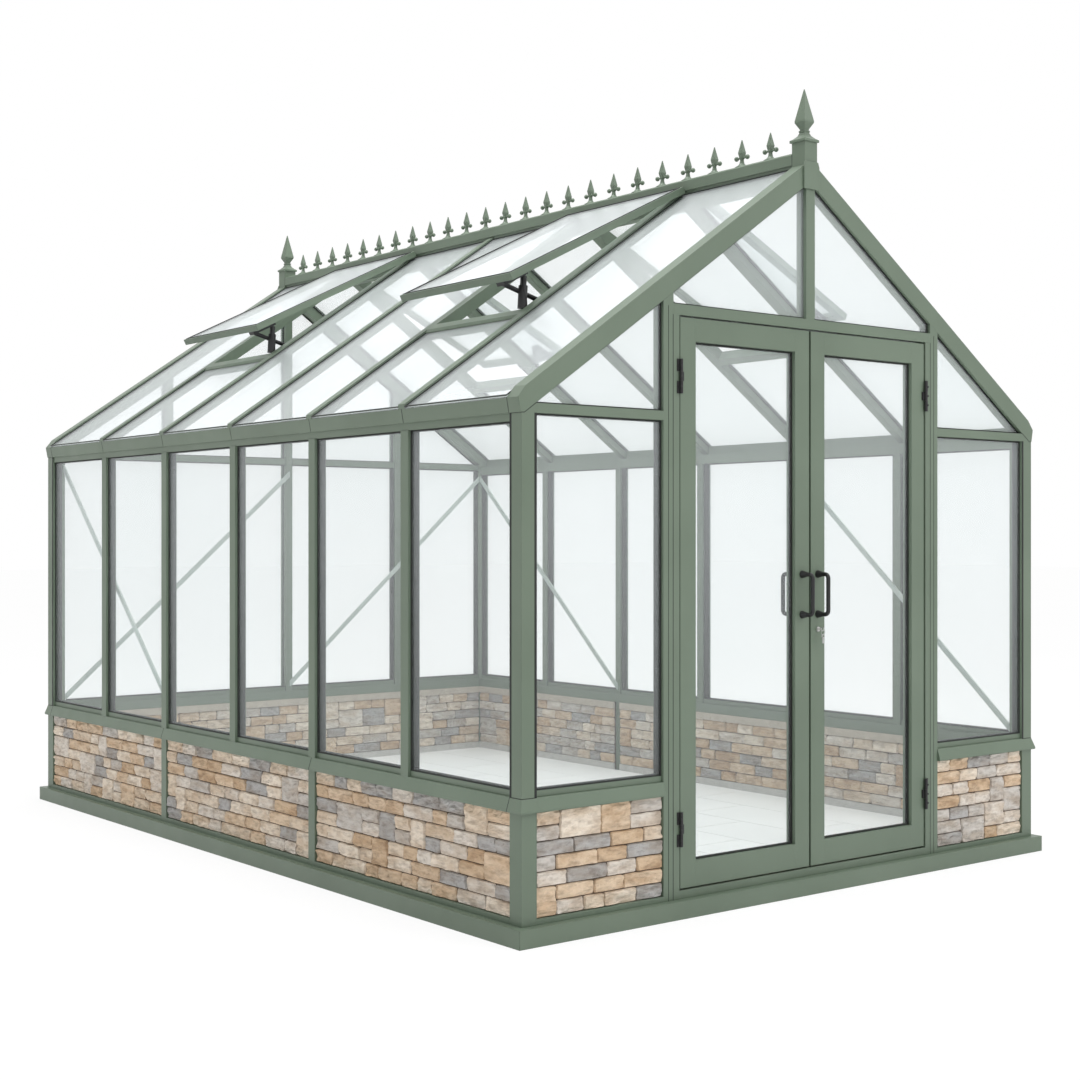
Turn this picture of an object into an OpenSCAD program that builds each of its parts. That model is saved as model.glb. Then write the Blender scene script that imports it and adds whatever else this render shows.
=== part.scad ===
// Glass greenhouse on a stone-faced dwarf wall, with double doors, four open roof vents
// and a crested ridge. Millimetres, +Z up, +Y along the ridge, the doors face -Y.
// The origin is on the ground under the middle of the building.

/* [Building] */
// Width over the corner posts
frame_w = 2600; // [2400:10:3000]
// Length over the corner posts
frame_l = 3750; // [3300:10:4500]
// Height of the top edge of the eaves
eave_h = 1698; // [1600:1:1800]
// Slope of the roof in degrees
roof_pitch = 34.3; // [32:0.1:38]
// Panes along each long side
side_bays = 6; // [6:2:8]

/* [Base and dwarf wall] */
// Height of the base rail and of the floor
base_h = 60; // [50:1:75]
// How far the base rail stands out past the posts
base_overhang = 30; // [20:1:40]
// Height of the stone panels
dwarf_h = 351; // [300:1:420]
// Thickness of the stone panels
panel_t = 40; // [30:1:45]
// How far the stone panels lie behind the outer faces of the posts
panel_recess = 12; // [8:1:14]
// Height of the bead at the foot of each stone panel
bead_h = 18; // [10:1:30]

/* [Frame members] */
// Side of the square corner posts
post_w = 60; // [55:1:75]
// Width of the wall mullions
bar_w = 45; // [38:1:55]
// Depth of the wall mullions
bar_d = 50; // [44:1:54]
// Thickness of the outer flange of a mullion
flange_t = 14; // [10:1:18]
// Height of the sill rails
sill_h = 45; // [35:1:60]
// How far the foot of the sill stands out past the posts
sill_nose = 12; // [6:1:20]
// Height of the upstand between the sill and the glass
upstand_h = 20; // [12:1:30]
// Height of the gable transoms
transom_h = 31; // [25:1:40]
// Width of the bracing rods
brace_w = 22; // [8:1:40]

/* [Roof] */
// How far the eaves stand out past the posts
eave_over = 12; // [10:1:50]
// Height of the eaves fascia
fascia_h = 47; // [40:1:60]
// How far the fascia leans out from foot to top
fascia_lean = 9; // [4:1:14]
// Height of the inner head rail below the fascia
head_drop = 25; // [15:1:35]
// Width of the roof bars
roof_bar_w = 38; // [30:1:45]
// Depth of the roof bars below the glass
roof_bar_d = 32; // [24:1:40]
// Height of the roof bars above the underside of the glass
roof_bar_cap = 14; // [10:1:20]
// Depth of the verge rafters below the glass
rafter_d = 52; // [45:1:60]
// Width of the ridge beam
ridge_w = 50; // [40:1:60]
// Height of the ridge beam above the meeting line of the two slopes
ridge_up = 46; // [36:1:60]
// Thickness of the glass
glass_t = 5; // [4:1:8]

/* [Roof vents] */
// Length of a vent sash down the slope
sash_l = 930; // [780:5:1060]
// Thickness of a vent sash
sash_t = 26; // [20:1:34]
// Width of the stiles and rails of a vent sash
sash_rail = 38; // [30:1:48]
// How far the vents stand open, in degrees
vent_open = 8; // [5:0.5:12]
// Width of the lower curb rail under a vent sash
curb_w = 40; // [30:1:50]
// Width of the side curbs under a vent sash
curb_side_w = 16; // [10:1:24]

/* [Doors] */
// Width of a door leaf
leaf_w = 625; // [560:5:640]
// Gap between the door header and the rafters over its posts
door_head_room = 6; // [2:0.5:120]
// Thickness of a door leaf
leaf_t = 42; // [36:1:44]
// Width of the door stiles
stile_w = 71; // [60:1:85]
// Height of the top rail of a door leaf
top_rail_h = 78; // [60:1:100]
// Height of the bottom rail of a door leaf
bottom_rail_h = 86; // [70:1:120]
// Gap between the two leaves
meeting_gap = 10; // [9:0.5:14]
// Gap between a leaf and its frame
leaf_gap = 6; // [5.5:0.5:9]
// Width of the door jambs
jamb_w = 27; // [22:1:40]
// Height of the threshold above the base rail
threshold_h = 28; // [20:1:40]
// Height of the door header
header_h = 36; // [28:1:38]
// Height of the pull handles
handle_h = 158; // [120:1:220]
// How far the pull handles stand off the leaf
handle_reach = 58; // [45:1:80]
// Radius of the pull handle bar
handle_r = 7.5; // [6:0.5:9]
// Height of a butt hinge
hinge_h = 115; // [90:1:150]
// Radius of the hinge pins
pin_r = 3.5; // [3:0.1:4]

/* [Ridge ornament] */
// Number of crest ornaments along the ridge
crest_count = 24; // [12:1:26]
// Height of a crest ornament
crest_h = 104; // [80:1:130]
// Width of a crest ornament
crest_w = 74; // [60:1:90]
// Side of the square finial blocks
block_w = 64; // [60:1:80]
// Height of a finial above its block
finial_h = 192; // [150:1:240]

/* [Hidden] */
// Overrun of every cut past the face it leaves
overrun = 5;
// Running clearance of a hinge pin in its knuckle
pin_clear = 0.08;
// Clearance between the knuckles of one hinge
knuckle_gap = 0.6;
// Clearance under a vent sash at its hinge line
sash_clear = 0.2;

// Levels
sill_z = base_h + dwarf_h;
sill_top = sill_z + sill_h;
glass_z = sill_top + upstand_h;
eave_bottom = eave_h - fascia_h;
head_z = eave_bottom - head_drop;
transom_z = head_z + head_drop;

// Places across and along the building
half_w = frame_w / 2;
half_l = frame_l / 2;
eave_x = half_w + eave_over;
ridge_x = ridge_w / 2;
block_x = block_w / 2;
post_in_x = half_w - post_w;
post_in_y = half_l - post_w;
leaf_x = meeting_gap / 2 + leaf_w;
jamb_x = leaf_x + leaf_gap;
door_post_x = jamb_x + jamb_w;
door_post_out = door_post_x + bar_w;
rear_bar_x = door_post_x + bar_w / 2;
king_w = bar_w;
// Length over which a rafter's foot runs down to the fascia
rafter_toe = 30;
// Depth of the posts' and panes' heads, just under the rafters
seat_clear = 0.3;
rafter_seat = rafter_d + seat_clear;
// The doors fill the height under the rafters
header_top = roof_z(door_post_out, rafter_d) - door_head_room;
header_z = header_top - header_h;
leaf_top = header_z - leaf_gap;
leaf_z = base_h + threshold_h + leaf_gap;
leaf_h = leaf_top - leaf_z;
pane_w = (frame_l - 2 * post_w - (side_bays - 1) * bar_w) / side_bays;

// Mullions: a wide outer flange, a web between the panes and a narrower inner flange
web_share = 0.5;
inner_flange_share = 0.84;
web_w = bar_w * web_share;
inner_flange_w = bar_w * inner_flange_share;
inner_flange_t = bar_d - 2 * flange_t;
// The glass lies against the back of the outer flange, and the upstand carries it
upstand_lap = 4;
upstand_set = flange_t - upstand_lap;
upstand_d = bar_d - upstand_set - upstand_lap;
// Foot of the sill's sloping face
sill_lip = 7;
// How far a divider stays behind the inner face of the stone panels
divider_back = 7;
divider_d = panel_recess + panel_t - divider_back;
bead_d = panel_recess;
brace_t = 8;
brace_foot = sill_top + upstand_h;
brace_head = head_z - 2 * upstand_h;
// The head of the wall lies inside the fascia
head_set = 4;
beam_in = bar_d + head_set;
// The wall's head ends just under the roof bars, and the beam's inner face stands on it
head_room = 3;
eave_web_in = 10;
eave_web_x = half_w - eave_web_in;

// Hinges
knuckle_r = 6;
hinge_plate_t = 3;
hinge_plate_w = 15;
hinge_inset_share = 0.074;
hinge_inset = leaf_h * hinge_inset_share;
leaf_set = hinge_plate_t;
hinge_x = leaf_x + leaf_gap / 2;
hinge_out = knuckle_r;
hinge_share = [0.36, 0.64];
hinge_levels = [leaf_z + hinge_inset, leaf_top - hinge_inset - hinge_h];

// Handles
handle_x = meeting_gap / 2 + stile_w / 2;
handle_level_share = 0.508;
handle_z = leaf_z + leaf_h * handle_level_share;
rose_share = 1.8;
rose_r = handle_r * rose_share;
rose_t = 3;
// Each rose tapers to a collar a little thicker than the bar
rose_l = 24;
rose_step = 0.6;

// Vents
vent_ridge_gap = 14;
vent_x = ridge_x + vent_ridge_gap;
curb_lip = 8;
// How far the lip of a sash stands above its glass
sash_lip_up = 1;
// Weather lip of the lower curb over the glass below it
curb_nose = 14;
curb_nose_t = 3;
curb_end = sash_l - curb_lip;
curb_start = curb_end - curb_w;
bar_depth = roof_bar_d + roof_bar_cap;
// The second bay of every three has a vent
vent_bays = [for (i = [1 : side_bays]) if (i % 3 == 2) i];
// Openers: two arms side by side, with an edge round them on the foot and the shoe
opener_r = 9;
opener_l = 120;
opener_space = 1;
opener_edge = 3;
opener_w = 4 * opener_r + opener_space + 2 * opener_edge;
opener_y = curb_side_w - (pane_w + bar_w - roof_bar_w) / 2;
// How far a sash reaches past the middle of the bar beside it
sash_over = 44;
sash_half = (pane_w + bar_w) / 2 + sash_over;
// The sash's glass lies in a rebate behind a lip
sash_lip = 9;
sash_bed = sash_t - glass_t - sash_lip_up;

// Ridge beam, blocks and ornament
ridge_top = roof_z(0) + ridge_up;
ridge_drop = 8;
ridge_foot = roof_z(ridge_x, roof_bar_d) - ridge_drop;
ridge_bevel = 6;
// The ridge cap clears the roof bars and is flush with the finial blocks
ridge_cap_gap = 2;
ridge_cap_z = roof_z(ridge_x, -roof_bar_cap) + ridge_cap_gap;
block_z = roof_z(block_x, rafter_d);
block_rise = 38;
block_top = ridge_top + block_rise;
// The apex plate in front of the rafters' upper ends
apex_plate_w = 78;
apex_plate_t = 7;
block_out = 2;
// How far the finial's cap reaches down over its block
cap_lap = 3;
block_in = post_w;
crest_margin = 136;
collar_share = 0.36;
collar_r = 9.5;
collar_t = 7;
// Side balls of an ornament and the bar that carries them
ball_r = 9;
ball_bar_r = 4;
ball_y = crest_w / 2 - ball_r;
spear_foot_share = 0.34;
// Half-widths and heights of the trumpet foot, as shares of the ornament's width and height
trumpet_shares = [[0.36, 0], [0.36, 0.02], [0.22, 0.08], [0.13, 0.15], [0.10, 0.25], [0.10, 0.38]];
// Half-widths and heights of the spear head, as shares of the ornament's width and the head's height
spear_shares = [[0.09, 0], [0.14, 0.28], [0.14, 0.32], [0.015, 1]];
// Half-widths and heights of a finial, as shares of the block's width and the finial's height
finial_shares = [
    [0.58, 0], [0.58, 0.045], [0.42, 0.08], [0.27, 0.13], [0.19, 0.19], [0.22, 0.20], [0.22, 0.225],
    [0.17, 0.235], [0.19, 0.26], [0.38, 0.375], [0.38, 0.41], [0.02, 1]
];

sage = [0.44, 0.50, 0.44];
dark_sage = [0.36, 0.42, 0.36];
clear = [0.86, 0.93, 0.94, 0.35];
masonry = [0.70, 0.62, 0.53];
paving = [0.86, 0.86, 0.85];
black = [0.08, 0.08, 0.08];

// Height of the roof at x, at a depth under the bed of the glass
function roof_z(x, depth = 0) =
    eave_h + (eave_x - abs(x)) * tan(roof_pitch) - depth / cos(roof_pitch);

// Where the roof's plane at a depth under the glass reaches a height
function roof_x(z, depth = 0) =
    eave_x - (z + depth / cos(roof_pitch) - eave_h) / tan(roof_pitch);

// Middle of a mullion along the long sides, counted from the doors
function bar_y(i) = -half_l + post_w + i * pane_w + (i - 0.5) * bar_w;

// First and last edges of the clear roof bay, counted from the doors
function bay_start(i) = i == 1 ? -post_in_y : bar_y(i - 1) + roof_bar_w / 2;
function bay_end(i) = i == side_bays ? post_in_y : bar_y(i) - roof_bar_w / 2;
function bay_mid(i) = (bay_start(i) + bay_end(i)) / 2;
function has_vent(i) = len(search(i, vent_bays)) > 0;

// Point in the cross-section at a distance down the slope from the vents' hinge line
vent_z = roof_z(vent_x, -roof_bar_cap - sash_clear);
function slope_pt(run, rise) = [
    vent_x + run * cos(roof_pitch) + rise * sin(roof_pitch),
    vent_z - run * sin(roof_pitch) + rise * cos(roof_pitch)
];

// Both sides of the building across X
module both_sides() {
    children();
    mirror([1, 0, 0]) children();
}

// Both ends of the building along Y
module both_ends() {
    children();
    mirror([0, 1, 0]) children();
}

// Turns a front-wall piece, drawn from y = 0 inwards, to face one of the long sides
module on_long_sides() {
    both_sides() translate([-half_w, 0, 0]) rotate(-90) children();
}

module on_front() {
    translate([0, -half_l, 0]) children();
}

module on_rear() {
    translate([0, half_l, 0]) rotate(180) children();
}

// Extrudes a cross-section drawn in X and Z along Y
module along_y(start, end) {
    translate([0, end, 0]) rotate([90, 0, 0]) linear_extrude(end - start) children();
}

// Extrudes a wall section drawn in depth and Z along X
module along_x(start, end) {
    translate([start, 0, 0]) rotate([90, 0, 90]) linear_extrude(end - start) children();
}

// Box from its lowest to its highest corner
module span(low, high) {
    translate(low) cube(high - low);
}

// Base, floor and dwarf wall

module base_side_rails() {
    color(dark_sage) both_sides() linear_extrude(base_h) polygon([
        [-half_w - base_overhang, -half_l - base_overhang],
        [-post_in_x, -post_in_y],
        [-post_in_x, post_in_y],
        [-half_w - base_overhang, half_l + base_overhang]
    ]);
}

module base_end_rails() {
    color(dark_sage) both_ends() linear_extrude(base_h) polygon([
        [-half_w - base_overhang, -half_l - base_overhang],
        [half_w + base_overhang, -half_l - base_overhang],
        [post_in_x, -post_in_y],
        [-post_in_x, -post_in_y]
    ]);
}

module floor_slab() {
    color(paving) span([-post_in_x, -post_in_y, 0], [post_in_x, post_in_y, base_h]);
}

// Clear widths of the stone panels of a long side, between posts and dividers
side_panels = [for (i = [0 : 2 : side_bays - 2]) [
    i == 0 ? -post_in_y : bar_y(i) + bar_w / 2,
    i == side_bays - 2 ? post_in_y : bar_y(i + 2) - bar_w / 2
]];
front_panels = [[-post_in_x, -door_post_out], [door_post_out, post_in_x]];
rear_panels = [[-post_in_x, post_in_x]];

module stone_row(panels) {
    for (p = panels)
        span([p[0], panel_recess, base_h], [p[1], panel_recess + panel_t, sill_z]);
}

module bead_row(panels) {
    for (p = panels)
        span([p[0], 0, base_h], [p[1], bead_d, base_h + bead_h]);
}

module side_stone_panels() {
    color(masonry) on_long_sides() stone_row(side_panels);
}

module end_stone_panels() {
    color(masonry) {
        on_front() stone_row(front_panels);
        on_rear() stone_row(rear_panels);
    }
}

module panel_beads() {
    color(sage) {
        on_long_sides() bead_row(side_panels);
        on_front() bead_row(front_panels);
        on_rear() bead_row(rear_panels);
    }
}

module wall_dividers() {
    color(sage) on_long_sides() for (i = [2 : 2 : side_bays - 2])
        span([bar_y(i) - bar_w / 2, 0, base_h], [bar_y(i) + bar_w / 2, divider_d, sill_z]);
}

// Posts, sills and mullions

// Level of a post's head under the rafter and the rafter's level foot
function post_head(x) = max(eave_bottom - seat_clear, roof_z(x, rafter_seat));

module corner_posts() {
    toe_x = roof_x(eave_bottom - seat_clear, rafter_seat);
    toe = toe_x > post_in_x && toe_x < half_w ? [[-toe_x, post_head(toe_x)]] : [];
    color(sage) both_ends() both_sides() along_y(-half_l, -post_in_y) polygon(concat(
        [[-half_w, base_h], [-post_in_x, base_h], [-post_in_x, post_head(post_in_x)]],
        toe,
        [[-half_w, post_head(half_w)]]
    ));
}

module sill_profile() {
    polygon([
        [-sill_nose, sill_z],
        [-sill_nose, sill_z + sill_lip],
        [0, sill_top],
        [beam_in, sill_top],
        [beam_in, sill_z]
    ]);
}

module side_sills() {
    color(sage) on_long_sides() along_x(-post_in_y, post_in_y) sill_profile();
}

module end_sills() {
    color(sage) {
        on_front() both_sides() along_x(-post_in_x, -door_post_out) sill_profile();
        on_rear() along_x(-post_in_x, post_in_x) sill_profile();
    }
}

// Blocks that carry the sills' sloping face round the corner posts
module sill_corner_blocks() {
    color(sage) both_sides() both_ends() difference() {
        hull() {
            span([post_in_x, post_in_y, sill_z], [half_w + sill_nose, half_l + sill_nose, sill_z + sill_lip]);
            span([post_in_x, post_in_y, sill_z], [half_w, half_l, sill_top]);
        }
        span([0, 0, base_h], [half_w, half_l, eave_h]);
    }
}

// Clear widths of the wall panes, from flange to flange
side_panes = [for (i = [1 : side_bays]) [
    i == 1 ? -post_in_y : bar_y(i - 1) + bar_w / 2,
    i == side_bays ? post_in_y : bar_y(i) - bar_w / 2
]];
rear_panes = [
    [-post_in_x, -door_post_out],
    [-door_post_x, -king_w / 2],
    [king_w / 2, door_post_x],
    [door_post_out, post_in_x]
];

module upstand_row(panes) {
    for (p = panes)
        span([p[0], upstand_set, sill_top], [p[1], upstand_set + upstand_d, glass_z]);
}

module glazing_upstands() {
    color(sage) {
        on_long_sides() upstand_row(side_panes);
        on_front() upstand_row(front_panels);
        on_rear() upstand_row(rear_panes);
    }
}

module mullion_profile() {
    translate([-bar_w / 2, 0]) square([bar_w, flange_t]);
    translate([-web_w / 2, 0]) square([web_w, bar_d]);
    translate([-inner_flange_w / 2, bar_d - inner_flange_t]) square([inner_flange_w, inner_flange_t]);
}

module wall_mullions() {
    color(sage) {
        on_long_sides() for (i = [1 : side_bays - 1])
            translate([bar_y(i), 0, sill_top]) linear_extrude(head_z - sill_top) mullion_profile();
        on_rear() both_sides() intersection() {
            translate([rear_bar_x, 0, sill_top]) linear_extrude(eave_h) mullion_profile();
            under_rafters(post_w);
        }
    }
}

// Space under the verge rafters, drawn from the wall's outer face inwards
module under_rafters(depth) {
    along_y(0, depth) polygon([
        [-half_w, 0],
        [half_w, 0],
        [half_w, roof_z(half_w, rafter_seat)],
        [0, roof_z(0, rafter_seat)],
        [-half_w, roof_z(half_w, rafter_seat)]
    ]);
}

module door_posts() {
    color(sage) on_front() both_sides() intersection() {
        span([door_post_x, 0, base_h], [door_post_out, bar_d, roof_z(0)]);
        under_rafters(post_w);
    }
}

module king_posts() {
    color(sage) {
        on_front() translate([0, 0, header_top])
            linear_extrude(block_z - header_top) mullion_profile();
        on_rear() translate([0, 0, sill_top])
            linear_extrude(block_z - sill_top) mullion_profile();
    }
}

module transom_row(panes) {
    for (p = panes)
        span([p[0], 0, transom_z], [p[1], bar_d, transom_z + transom_h]);
}

module gable_transoms() {
    color(sage) {
        on_front() transom_row(front_panels);
        on_rear() transom_row(rear_panes);
    }
}

// A brace lies flat on the inner faces of the mullions, with plumb ends
module brace(low_x, low_z, high_x, high_z) {
    run = high_x - low_x;
    fall = brace_w * sqrt(run * run + (high_z - low_z) * (high_z - low_z)) / abs(run);
    translate([0, bar_d + brace_t, 0]) rotate([90, 0, 0]) linear_extrude(brace_t) polygon([
        [low_x, low_z],
        [low_x, low_z + fall],
        [high_x, high_z + fall],
        [high_x, high_z]
    ]);
}

module wall_braces() {
    color(dark_sage) {
        translate([-half_w, 0, 0]) rotate(-90)
            brace(bar_y(2), brace_foot, -post_in_y, brace_head);
        translate([half_w, 0, 0]) rotate(90) {
            brace(bar_y(side_bays - 2), brace_foot, post_in_y, brace_head);
            brace(-post_in_y, brace_foot, bar_y(2), brace_head);
        }
        on_rear() {
            brace(post_in_x, brace_foot, 0, brace_head);
            brace(0, brace_foot, -post_in_x, brace_head);
        }
    }
}

// Door frame

module door_jambs() {
    color(sage) on_front() both_sides()
        span([jamb_x, 0, base_h + threshold_h], [door_post_x, bar_d, header_z]);
}

module door_header() {
    color(sage) on_front() span([-door_post_x, 0, header_z], [door_post_x, bar_d, header_top]);
}

module door_threshold() {
    color(sage) on_front()
        span([-door_post_x, 0, base_h], [door_post_x, bar_d, base_h + threshold_h]);
}

// Eaves, rafters and ridge

module eaves_beams() {
    beam_x = half_w - beam_in;
    head_top = roof_z(eave_web_x, roof_bar_d) - head_room;
    color(sage) both_sides() along_y(-post_in_y, post_in_y) polygon([
        [eave_x - fascia_lean, eave_bottom],
        [eave_x, eave_h],
        [eave_web_x, roof_z(eave_web_x, seat_clear)],
        [eave_web_x, head_top],
        [beam_x, head_top],
        [beam_x, head_z],
        [half_w - head_set, head_z],
        [half_w - head_set, eave_bottom]
    ]);
}

module verge_rafters() {
    color(sage) both_ends() both_sides() along_y(-half_l, -post_in_y) polygon([
        [eave_x - fascia_lean, eave_bottom],
        [eave_x, eave_h],
        [eave_x - rafter_toe, roof_z(eave_x - rafter_toe, -roof_bar_cap)],
        [block_x, roof_z(block_x, -roof_bar_cap)],
        [block_x, block_z],
        [roof_x(eave_bottom, rafter_d), eave_bottom]
    ]);
}

module ridge_beam() {
    half = [
        [ridge_x, ridge_foot],
        [ridge_x, ridge_cap_z],
        [block_x, ridge_cap_z],
        [block_x, ridge_top - ridge_bevel],
        [block_x - ridge_bevel, ridge_top]
    ];
    color(sage) along_y(-half_l + block_in, half_l - block_in) polygon(both_halves(half));
}

module roof_bars() {
    color(sage) both_sides() for (i = [1 : side_bays - 1])
        along_y(bar_y(i) - roof_bar_w / 2, bar_y(i) + roof_bar_w / 2) polygon([
            [eave_x, eave_h],
            [eave_x, roof_z(eave_x, -roof_bar_cap)],
            [ridge_x, roof_z(ridge_x, -roof_bar_cap)],
            [ridge_x, roof_z(ridge_x, roof_bar_d)],
            [eave_web_x, roof_z(eave_web_x, roof_bar_d)],
            [eave_web_x, roof_z(eave_web_x)]
        ]);
}

// Outline of half-widths and heights, closed by its mirror image
function both_halves(half) =
    concat(half, [for (i = [len(half) - 1 : -1 : 0]) [-half[i][0], half[i][1]]]);

// Solid whose square section follows one outline of half-widths and heights
module square_turned(outline) {
    both = both_halves(outline);
    reach = max([for (p = outline) p[0]]) + overrun;
    intersection() {
        along_y(-reach, reach) polygon(both);
        rotate(90) along_y(-reach, reach) polygon(both);
    }
}

function scaled(shares, wide, tall) = [for (s = shares) [s[0] * wide, s[1] * tall]];

// One crest ornament: a trumpet foot, a collar, a ball on each side and a spear head
module crest_ornament() {
    rotate_extrude($fn = 48) polygon(concat(
        [[0, 0]],
        scaled(trumpet_shares, crest_w, crest_h),
        [[0, crest_h * trumpet_shares[len(trumpet_shares) - 1][1]]]
    ));
    translate([0, 0, crest_h * collar_share]) {
        cylinder(r = collar_r, h = collar_t, center = true, $fn = 48);
        rotate([90, 0, 0]) cylinder(r = ball_bar_r, h = 2 * ball_y, center = true, $fn = 48);
        for (side = [-1, 1]) translate([0, side * ball_y, 0]) sphere(r = ball_r, $fn = 48);
    }
    translate([0, 0, crest_h * spear_foot_share])
        square_turned(scaled(spear_shares, crest_w, crest_h * (1 - spear_foot_share)));
}

module ridge_cresting() {
    run = frame_l - 2 * (block_in + crest_margin);
    color(sage) for (i = [0 : crest_count - 1])
        translate([0, run * (i / (crest_count - 1) - 0.5), ridge_top]) crest_ornament();
}

// The plate's foot follows the rafters, and its shoulders run in to the block
apex_plate = [
    [apex_plate_w / 2, roof_z(apex_plate_w / 2, rafter_d)],
    [apex_plate_w / 2, roof_z(apex_plate_w / 2, -roof_bar_cap)],
    [block_x, ridge_cap_z + apex_plate_t]
];

module finials() {
    color(sage) both_ends() {
        span([-block_x, -half_l - block_out, block_z], [block_x, -half_l + block_in, block_top]);
        along_y(-half_l - apex_plate_t, -half_l) polygon(both_halves(apex_plate));
        translate([0, -half_l - block_out + block_x, block_top - cap_lap])
            square_turned(scaled(finial_shares, block_w, finial_h));
    }
}

// Glass

module pane_row(panes, top) {
    for (p = panes)
        span([p[0], flange_t, glass_z], [p[1], flange_t + glass_t, top]);
}

module wall_glass() {
    slot = (bar_w - web_w) / 2;
    side_glass = [for (i = [1 : side_bays]) side_panes[i - 1] + [
        i == 1 ? 0 : -slot,
        i == side_bays ? 0 : slot
    ]];
    outer = [rear_bar_x + web_w / 2, post_in_x];
    inner = [web_w / 2, rear_bar_x - web_w / 2];
    color(clear) {
        on_long_sides() pane_row(side_glass, head_z);
        on_front() pane_row(front_panels, transom_z);
        on_rear() both_sides() pane_row([inner, outer], transom_z);
    }
}

// Gable panes from one upright to the next, under the rafters
module gable_pane(inner, outer, foot) {
    head = inner < block_x
        ? [[block_x, block_z], [inner, block_z]]
        : [[inner, roof_z(inner, rafter_seat)]];
    along_y(flange_t, flange_t + glass_t) polygon(concat(
        [[inner, foot], [outer, foot], [outer, roof_z(outer, rafter_seat)]],
        head
    ));
}

module gable_glass() {
    transom_top = transom_z + transom_h;
    color(clear) {
        on_front() both_sides() {
            gable_pane(web_w / 2, door_post_x, header_top);
            gable_pane(door_post_out, post_in_x, transom_top);
        }
        on_rear() both_sides() {
            gable_pane(web_w / 2, rear_bar_x - web_w / 2, transom_top);
            gable_pane(rear_bar_x + web_w / 2, post_in_x, transom_top);
        }
    }
}

module roof_glass() {
    bed = -roof_bar_cap - sash_clear;
    color(clear) both_sides() for (i = [1 : side_bays])
        along_y(bay_start(i), bay_end(i)) polygon(concat(
            [[eave_x, eave_h], [eave_x, roof_z(eave_x, -glass_t)]],
            has_vent(i)
                ? [slope_pt(curb_end, bed + glass_t), slope_pt(curb_end, bed)]
                : [[ridge_x, roof_z(ridge_x, -glass_t)], [ridge_x, roof_z(ridge_x)]]
        ));
}

// Roof vents

module vent_curb_rails() {
    low = -sash_clear - bar_depth;
    on_glass = glass_t - roof_bar_cap - sash_clear;
    color(sage) both_sides() for (i = vent_bays)
        along_y(bay_start(i), bay_end(i)) polygon([
            slope_pt(curb_start, -sash_clear),
            slope_pt(curb_end, -sash_clear),
            slope_pt(curb_end + curb_nose, on_glass + curb_nose_t),
            slope_pt(curb_end + curb_nose, on_glass),
            slope_pt(curb_end, on_glass),
            slope_pt(curb_end, low),
            slope_pt(curb_start, low)
        ]);
}

module curb_side(start) {
    low = -sash_clear - bar_depth;
    along_y(start, start + curb_side_w) polygon([
        [ridge_x, roof_z(ridge_x, -roof_bar_cap)],
        slope_pt(curb_start, -sash_clear),
        slope_pt(curb_start, low),
        [ridge_x, roof_z(ridge_x, roof_bar_d)]
    ]);
}

module vent_curb_sides() {
    color(sage) both_sides() for (i = vent_bays) {
        curb_side(bay_start(i));
        curb_side(bay_end(i) - curb_side_w);
    }
}

// Frame at a vent's hinge line: x runs down the slope, z stands off it
module at_vents() {
    both_sides() for (i = vent_bays)
        translate([vent_x, bay_mid(i), vent_z]) rotate([0, roof_pitch, 0]) children();
}

module at_sashes() {
    at_vents() rotate([0, -vent_open, 0]) children();
}

// A stile carries the glass in a rebate, closed at both ends by the lip
module vent_sash_stiles() {
    color(sage) at_sashes() both_ends() {
        span([0, -sash_half, 0], [sash_l, -sash_half + sash_rail, sash_bed]);
        span([0, -sash_half, 0], [sash_l, -sash_half + sash_lip, sash_t]);
        for (start = [0, sash_l - sash_lip])
            span([start, -sash_half, 0], [start + sash_lip, -sash_half + sash_rail, sash_t]);
    }
}

module vent_sash_rails() {
    inner = sash_half - sash_rail;
    color(sage) at_sashes() for (rail = [[0, 0], [sash_l - sash_rail, sash_l - sash_lip]]) {
        span([rail[0], -inner, 0], [rail[0] + sash_rail, inner, sash_bed]);
        span([rail[1], -inner, 0], [rail[1] + sash_lip, inner, sash_t]);
    }
}

module vent_glass() {
    inner = sash_half - sash_lip;
    color(clear) at_sashes() span(
        [sash_lip, -inner, sash_bed],
        [sash_l - sash_lip, inner, sash_bed + glass_t]
    );
}

// Round rod between two points
module rod(from, to, r) {
    d = to - from;
    translate(from) rotate([0, acos(d[2] / norm(d)), atan2(d[1], d[0])])
        cylinder(h = norm(d), r = r, $fn = 32);
}

// Two crossed arms from a foot on the inner faces of the curb to a shoe under the sash
module vent_openers() {
    low = -bar_depth / 2;
    foot_end = curb_start;
    shoe_end = sash_l - sash_rail / 2;
    inset = opener_r + opener_edge;
    color(black) at_vents() {
        span(
            [foot_end - opener_l, opener_y, low - opener_r],
            [foot_end, opener_y + opener_w, low + opener_r]
        );
        opener_arm(opener_y + inset, low, foot_end - inset, shoe_end - opener_l + inset);
        opener_arm(opener_y + opener_w - inset, low, foot_end - opener_l + inset, shoe_end - inset);
        rotate([0, -vent_open, 0]) span(
            [shoe_end - opener_l, opener_y, -2 * opener_r],
            [shoe_end, opener_y + opener_w, 0]
        );
    }
}

// Arm from a distance down the slope to a distance down the open sash
module opener_arm(y, low, foot_run, head_run) {
    rod(
        [foot_run, y, low],
        [
            head_run * cos(vent_open) + opener_r * sin(vent_open),
            y,
            head_run * sin(vent_open) - opener_r * cos(vent_open)
        ],
        opener_r
    );
}

// Doors

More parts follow.
